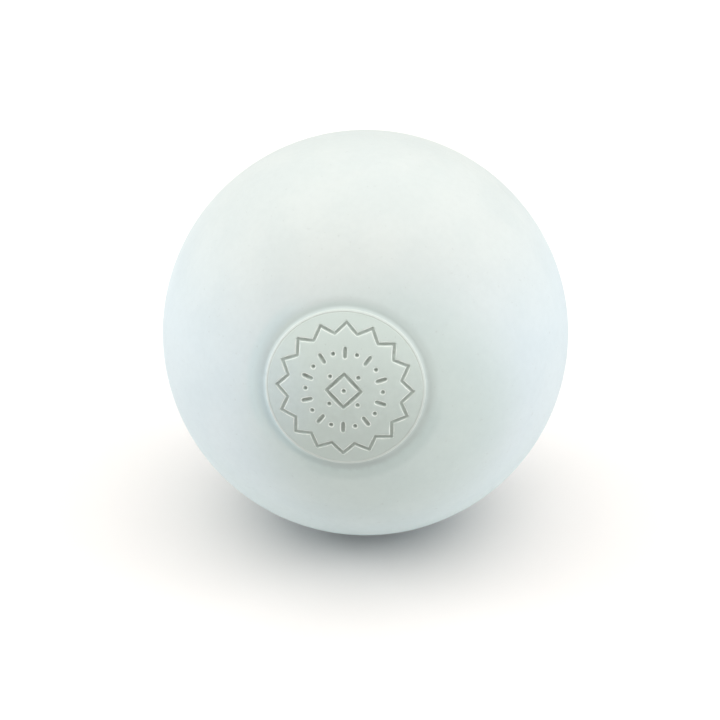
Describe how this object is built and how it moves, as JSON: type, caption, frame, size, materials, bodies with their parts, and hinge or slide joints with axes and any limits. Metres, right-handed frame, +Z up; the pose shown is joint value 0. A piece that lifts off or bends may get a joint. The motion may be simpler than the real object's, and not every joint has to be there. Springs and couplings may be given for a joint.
{
  "type": "lacrosse ball",
  "caption": "Solid white rubber ball with a matte ground surface and a round rimmed plaque set in a shallow dip on its front.",
  "frame": {"origin": "centre of the ball", "axes": "+Z up as the ball lies in the picture; the plaque looks along -Y, turned up 14 degrees towards +Z; +X to the right of someone who faces the plaque; X = 0 is the mirror plane"},
  "size_m": [0.0634, 0.0632, 0.0634],
  "materials": {
    "core_rubber": "matte",
    "cover_rubber": "matte"
  },
  "bodies": {
    "root": {"core": "core_rubber", "front_cover": "cover_rubber", "rear_cover": "cover_rubber"}
  },
  "joints": []
}
